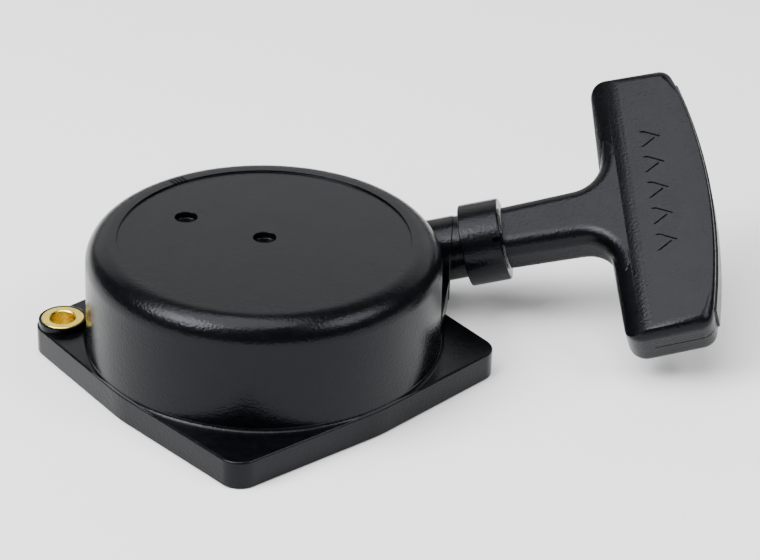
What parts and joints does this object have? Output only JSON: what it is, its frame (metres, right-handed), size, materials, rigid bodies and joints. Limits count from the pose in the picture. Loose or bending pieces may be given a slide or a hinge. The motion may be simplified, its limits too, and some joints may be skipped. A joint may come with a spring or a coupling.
{
  "type": "recoil starter",
  "caption": "Recoil starter for a small engine: black moulded cup on a square flange with brass mounting sleeves, rope outlet neck and collar, and a T pull handle.",
  "frame": {"origin": "on the reel's axis (the engine's crankshaft axis) in the plane of the flange's underside", "axes": "+Z along the reel axis out of the closed side of the cup; +X through the right-hand flange corner, on the side where the rope leaves for the handle; +Y through the rear flange corner"},
  "size_m": [0.1859, 0.138, 0.0617],
  "materials": {
    "black_nylon": "satin moulded black nylon with a fine grain",
    "black_grip": "satin moulded black plastic",
    "brass": "turned bright brass",
    "zinc_steel": "bright zinc-plated steel",
    "spring_steel": "blued spring steel",
    "natural_nylon": "natural nylon",
    "rope": "braided polyester cord"
  },
  "bodies": {
    "root": {"housing": "black_nylon", "mounting_sleeve_left": "brass", "mounting_sleeve_rear": "brass", "post_insert": "brass", "outlet_collar": "black_nylon", "rope_guide": "zinc_steel", "spring_case": "zinc_steel", "spring_cover": "zinc_steel", "recoil_spring": "spring_steel", "case_screw_1": "zinc_steel", "case_screw_2": "zinc_steel", "case_screw_3": "zinc_steel", "brake_spring": "spring_steel", "reel_washer": "zinc_steel", "reel_screw": "zinc_steel", "rope_run": "rope"},
    "reel": {"reel": "natural_nylon", "reel_bush": "spring_steel", "rope_coil": "rope", "reel_knot": "rope", "pawl_pin_1": "zinc_steel", "pawl_pin_2": "zinc_steel", "pawl_spring_1": "spring_steel", "pawl_spring_2": "spring_steel", "guide_plate": "zinc_steel"},
    "pawl_1": {"pawl_1": "zinc_steel"},
    "pawl_2": {"pawl_2": "zinc_steel"},
    "pull": {"rope_lead": "rope", "knot_washer": "zinc_steel", "handle_knot": "rope"},
    "handle": {"handle_body": "black_grip", "handle_cap": "black_grip"}
  },
  "joints": [
    {"name": "handle_pull", "type": "slide", "parent": "root", "child": "pull", "axis": [0.9636, 0, 0.2672], "range_m": [0, 0.8], "stiffness_N_per_m": 12, "springref_m": -0.6},
    {"name": "handle_swivel", "type": "hinge", "parent": "pull", "child": "handle", "pos_m": [0.046, 0.0352, 0.0178], "axis": [0.9636, 0, 0.2672], "continuous": true},
    {"name": "reel_spin", "type": "hinge", "parent": "root", "child": "reel", "pos_m": [0, 0, 0.016], "axis": [0, 0, 1], "range_deg": [-1303, 0]},
    {"name": "pawl_1_swing", "type": "hinge", "parent": "reel", "child": "pawl_1", "pos_m": [0.019, 0, 0.0061], "axis": [0, 0, 1], "range_deg": [0, 24], "stiffness_Nm_per_rad": 0.002, "springref_deg": -11.46},
    {"name": "pawl_2_swing", "type": "hinge", "parent": "reel", "child": "pawl_2", "pos_m": [-0.019, 0, 0.0061], "axis": [0, 0, 1], "range_deg": [0, 24], "stiffness_Nm_per_rad": 0.002, "springref_deg": -11.46}
  ],
  "couplings": [
    {"joint": "reel_spin", "follows": "handle_pull", "rad_per_m": -28.409}
  ]
}
